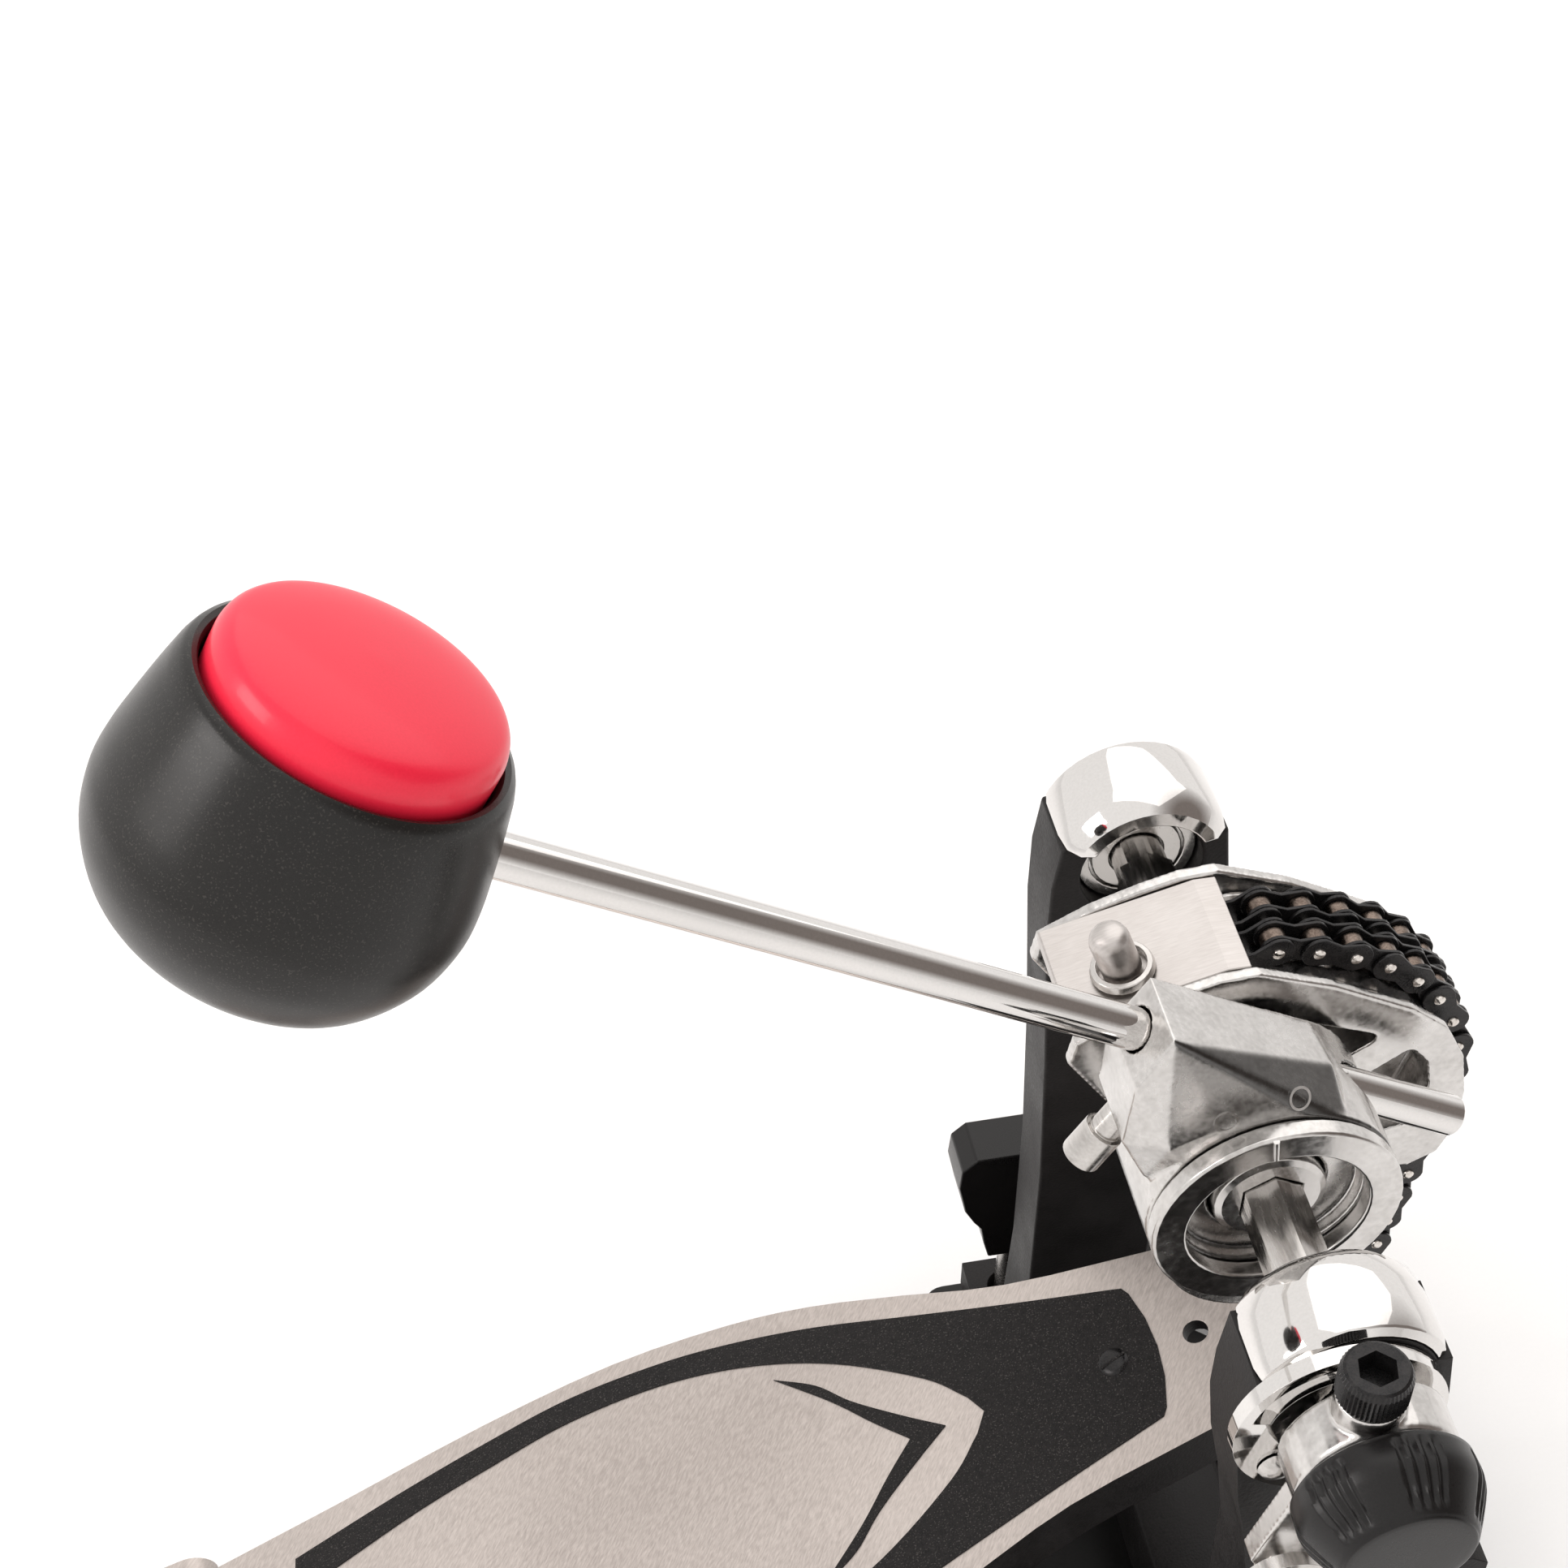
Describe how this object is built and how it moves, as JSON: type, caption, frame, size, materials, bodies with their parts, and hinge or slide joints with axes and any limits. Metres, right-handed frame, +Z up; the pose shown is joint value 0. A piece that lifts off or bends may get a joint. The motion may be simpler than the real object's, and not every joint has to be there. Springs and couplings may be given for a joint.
{
  "type": "bass drum pedal",
  "caption": "Bass drum pedal with a chain-driven cam on a hexagonal axle, an adjustable beater, a spring rocker and a hoop clamp.",
  "frame": {"origin": "on the floor, straight below the axle and midway across the footboard, chain and cam", "axes": "+X from the heel to the drum, +Y to the player's left, +Z up from the floor"},
  "size_m": [0.384, 0.218, 0.3585],
  "materials": {
    "black_paint": "satin black paint",
    "black_cast": "textured black powder coat on cast metal",
    "black_plastic": "fine-grained black moulding",
    "black_steel": "blackened steel",
    "red_plastic": "glossy red",
    "rubber": "matt ribbed rubber",
    "chrome": "bright chrome plating",
    "steel": "plain turned steel",
    "polished_steel": "polished steel",
    "brushed_steel": "brushed along its length, warm grey",
    "cast_aluminium": "die-cast, partly polished"
  },
  "bodies": {
    "frame": {"base_plate": "black_paint", "base_mat_front": "rubber", "base_mat_heel": "rubber", "left_post": "black_cast", "right_post": "black_cast", "left_post_cap": "chrome", "right_post_cap": "chrome", "left_bearing_outer_ring": "steel", "right_bearing_outer_ring": "steel", "side_disc": "chrome", "side_disc_screw": "steel", "heel_plate": "brushed_steel", "heel_pin": "steel", "front_bridge": "black_cast", "clamp_pivot_pin": "steel", "hoop_pad": "rubber", "spring_bracket": "black_cast", "spring_rod": "steel", "spring_nut_upper": "steel", "spring_nut_lower": "steel"},
    "axle": {"hex_axle": "steel", "left_bearing_inner_ring": "steel", "right_bearing_inner_ring": "steel", "cam": "cast_aluminium", "hub_boss": "cast_aluminium", "chain_wrapped": "black_steel", "chain_plate": "polished_steel", "stud_collar": "steel", "chain_stud": "polished_steel", "rocker_ring": "cast_aluminium", "rocker_screw": "black_steel", "axle_end_cap": "black_plastic", "rocker_pin": "steel"},
    "hub_clamp": {"beater_hub": "cast_aluminium", "hub_index_ring": "cast_aluminium", "hub_key_bolt": "steel"},
    "rod": {"beater_rod": "chrome"},
    "head": {"beater_shell": "black_plastic", "beater_face": "red_plastic"},
    "link_1": {"chain_link_1": "black_steel"},
    "link_2": {"chain_link_2": "black_steel"},
    "link_3": {"chain_link_3": "black_steel"},
    "link_4": {"chain_link_4": "black_steel"},
    "link_5": {"chain_link_5": "black_steel"},
    "link_6": {"chain_link_6": "black_steel"},
    "strand": {"chain_strand": "black_steel"},
    "pedal_board": {"footboard": "brushed_steel", "board_screw": "black_paint", "footboard_hinge": "black_cast", "toe_bracket": "steel", "toe_pin": "steel"},
    "spring_foot": {"spring_yoke": "steel", "spring": "steel"},
    "spring_top": {"spring_hook": "steel"},
    "hoop_lever": {"clamp_lever": "black_cast", "clamp_jaw_pad": "rubber"},
    "clamp_handle": {"clamp_t_handle": "black_plastic", "clamp_screw": "steel"}
  },
  "joints": [
    {"name": "axle_turn", "type": "hinge", "parent": "frame", "child": "axle", "pos_m": [0, 0, 0.208], "axis": [0, 1, 0], "range_deg": [0, 56], "stiffness_Nm_per_rad": 1.6, "springref_deg": -34.38},
    {"name": "beater_angle", "type": "hinge", "parent": "axle", "child": "hub_clamp", "pos_m": [0, -0.0272, 0.208], "axis": [0, 1, 0], "range_deg": [-12, 12]},
    {"name": "rod_length", "type": "slide", "parent": "hub_clamp", "child": "rod", "axis": [-0.8607, 0, 0.509], "range_m": [-0.012, 0.018]},
    {"name": "head_turn", "type": "hinge", "parent": "rod", "child": "head", "pos_m": [-0.16248, -0.0272, 0.32616], "axis": [-0.8607, 0, 0.509], "range_deg": [-180, 180]},
    {"name": "link_1_bend", "type": "hinge", "parent": "axle", "child": "link_1", "pos_m": [0.02424, 0, 0.23241], "axis": [0, 1, 0], "range_deg": [-5.8, 0.5]},
    {"name": "link_2_bend", "type": "hinge", "parent": "link_1", "child": "link_2", "pos_m": [0.0315, 0, 0.22835], "axis": [0, 1, 0], "range_deg": [-9.4, 0.5]},
    {"name": "link_3_bend", "type": "hinge", "parent": "link_2", "child": "link_3", "pos_m": [0.03797, 0, 0.22314], "axis": [0, 1, 0], "range_deg": [-10.2, 0.5]},
    {"name": "link_4_bend", "type": "hinge", "parent": "link_3", "child": "link_4", "pos_m": [0.04339, 0, 0.21684], "axis": [0, 1, 0], "range_deg": [-11.2, 0.5]},
    {"name": "link_5_bend", "type": "hinge", "parent": "link_4", "child": "link_5", "pos_m": [0.04746, 0, 0.2096], "axis": [0, 1, 0], "range_deg": [-12.2, 0.5]},
    {"name": "link_6_bend", "type": "hinge", "parent": "link_5", "child": "link_6", "pos_m": [0.04988, 0, 0.20165], "axis": [0, 1, 0], "range_deg": [-13, 0.5]},
    {"name": "strand_bend", "type": "hinge", "parent": "link_6", "child": "strand", "pos_m": [0.05046, 0, 0.19337], "axis": [0, 1, 0], "range_deg": [-11.9, 0.5]},
    {"name": "board_tilt", "type": "hinge", "parent": "frame", "child": "pedal_board", "pos_m": [-0.22406, 0, 0.012], "axis": [0, 1, 0], "range_deg": [0, 9]},
    {"name": "spring_tilt", "type": "hinge", "parent": "frame", "child": "spring_foot", "pos_m": [-0.0126, -0.103, 0.058], "axis": [0, 1, 0], "range_deg": [-9.6, 0.5]},
    {"name": "spring_stretch", "type": "slide", "parent": "spring_foot", "child": "spring_top", "axis": [0, 0, 1], "range_m": [0, 0.0246], "deforming": ["spring"]},
    {"name": "handle_screw", "type": "hinge", "parent": "frame", "child": "clamp_handle", "pos_m": [-0.008, 0.082, 0.0061], "axis": [0, 0, -1], "range_deg": [0, 1440]},
    {"name": "lever_tilt", "type": "hinge", "parent": "frame", "child": "hoop_lever", "pos_m": [0.042, 0, 0.025], "axis": [0, 1, 0], "range_deg": [0, 6.05]}
  ],
  "couplings": [
    {"joint": "link_1_bend", "follows": "axle_turn", "ratio": -0.1004},
    {"joint": "link_2_bend", "follows": "axle_turn", "ratio": -0.1621},
    {"joint": "link_3_bend", "follows": "axle_turn", "ratio": -0.1775},
    {"joint": "link_4_bend", "follows": "axle_turn", "ratio": -0.1949},
    {"joint": "link_5_bend", "follows": "axle_turn", "ratio": -0.2121},
    {"joint": "link_6_bend", "follows": "axle_turn", "ratio": -0.2253},
    {"joint": "strand_bend", "follows": "axle_turn", "ratio": -0.2068},
    {"joint": "board_tilt", "follows": "axle_turn", "ratio": 0.158},
    {"joint": "spring_tilt", "follows": "axle_turn", "ratio": -0.1685},
    {"joint": "spring_stretch", "follows": "axle_turn", "m_per_rad": 0.02469},
    {"joint": "lever_tilt", "follows": "handle_screw", "ratio": 0.0041667}
  ]
}
